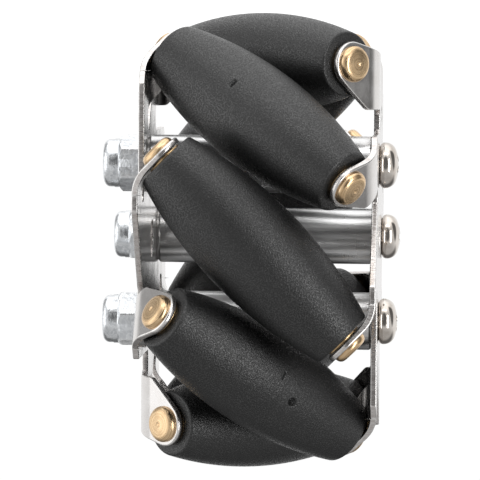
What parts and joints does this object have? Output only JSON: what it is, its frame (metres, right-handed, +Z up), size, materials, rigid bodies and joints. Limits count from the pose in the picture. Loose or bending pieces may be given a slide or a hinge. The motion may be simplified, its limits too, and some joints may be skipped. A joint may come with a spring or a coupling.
{
  "type": "mecanum wheel",
  "caption": "Mecanum wheel: slanted barrel rollers turn freely on riveted axles between two stamped plates, which spacer tubes and through-bolts hold apart.",
  "frame": {"origin": "centre of the wheel: on its axis, midway between the two plates", "axes": "+Y along the wheel's axis, towards the screw heads; +Z up; +X towards the side that the picture shows"},
  "size_m": [0.06, 0.0386, 0.06],
  "materials": {
    "polished_sheet": "stamped stainless sheet, polished faces and grained cut edges",
    "roller_rubber": "black moulded rubber, satin with a fine grain",
    "bush_brass": "turned brass",
    "axle_brass": "turned brass with fine rings on the heads",
    "turned_steel": "turned steel tube, satin",
    "nickel_plate": "bright nickel plate",
    "zinc_plate": "bright pale zinc plate",
    "insert_nylon": "natural nylon"
  },
  "bodies": {
    "frame": {"plate_head_side": "polished_sheet", "plate_nut_side": "polished_sheet", "axle_1": "axle_brass", "axle_2": "axle_brass", "axle_3": "axle_brass", "axle_4": "axle_brass", "axle_5": "axle_brass", "axle_6": "axle_brass", "axle_7": "axle_brass", "axle_8": "axle_brass", "spacer_tube_1": "turned_steel", "screw_1": "nickel_plate", "lock_nut_1": "zinc_plate", "nut_insert_1": "insert_nylon", "spacer_tube_2": "turned_steel", "screw_2": "nickel_plate", "lock_nut_2": "zinc_plate", "nut_insert_2": "insert_nylon", "spacer_tube_3": "turned_steel", "screw_3": "nickel_plate", "lock_nut_3": "zinc_plate", "nut_insert_3": "insert_nylon"},
    "roller_1_turning": {"roller_1": "roller_rubber", "bush_1_head_side": "bush_brass", "bush_1_nut_side": "bush_brass"},
    "roller_2_turning": {"roller_2": "roller_rubber", "bush_2_head_side": "bush_brass", "bush_2_nut_side": "bush_brass"},
    "roller_3_turning": {"roller_3": "roller_rubber", "bush_3_head_side": "bush_brass", "bush_3_nut_side": "bush_brass"},
    "roller_4_turning": {"roller_4": "roller_rubber", "bush_4_head_side": "bush_brass", "bush_4_nut_side": "bush_brass"},
    "roller_5_turning": {"roller_5": "roller_rubber", "bush_5_head_side": "bush_brass", "bush_5_nut_side": "bush_brass"},
    "roller_6_turning": {"roller_6": "roller_rubber", "bush_6_head_side": "bush_brass", "bush_6_nut_side": "bush_brass"},
    "roller_7_turning": {"roller_7": "roller_rubber", "bush_7_head_side": "bush_brass", "bush_7_nut_side": "bush_brass"},
    "roller_8_turning": {"roller_8": "roller_rubber", "bush_8_head_side": "bush_brass", "bush_8_nut_side": "bush_brass"}
  },
  "joints": [
    {"name": "roller_1_spin", "type": "hinge", "parent": "frame", "child": "roller_1_turning", "pos_m": [0.02345, 0, 0], "axis": [0, 0.7071, -0.7071], "continuous": true},
    {"name": "roller_2_spin", "type": "hinge", "parent": "frame", "child": "roller_2_turning", "pos_m": [0.01658, 0, 0.01658], "axis": [0.5, 0.7071, -0.5], "continuous": true},
    {"name": "roller_3_spin", "type": "hinge", "parent": "frame", "child": "roller_3_turning", "pos_m": [0, 0, 0.02345], "axis": [0.7071, 0.7071, 0], "continuous": true},
    {"name": "roller_4_spin", "type": "hinge", "parent": "frame", "child": "roller_4_turning", "pos_m": [-0.01658, 0, 0.01658], "axis": [0.5, 0.7071, 0.5], "continuous": true},
    {"name": "roller_5_spin", "type": "hinge", "parent": "frame", "child": "roller_5_turning", "pos_m": [-0.02345, 0, 0], "axis": [0, 0.7071, 0.7071], "continuous": true},
    {"name": "roller_6_spin", "type": "hinge", "parent": "frame", "child": "roller_6_turning", "pos_m": [-0.01658, 0, -0.01658], "axis": [-0.5, 0.7071, 0.5], "continuous": true},
    {"name": "roller_7_spin", "type": "hinge", "parent": "frame", "child": "roller_7_turning", "pos_m": [0, 0, -0.02345], "axis": [-0.7071, 0.7071, 0], "continuous": true},
    {"name": "roller_8_spin", "type": "hinge", "parent": "frame", "child": "roller_8_turning", "pos_m": [0.01658, 0, -0.01658], "axis": [-0.5, 0.7071, -0.5], "continuous": true}
  ]
}
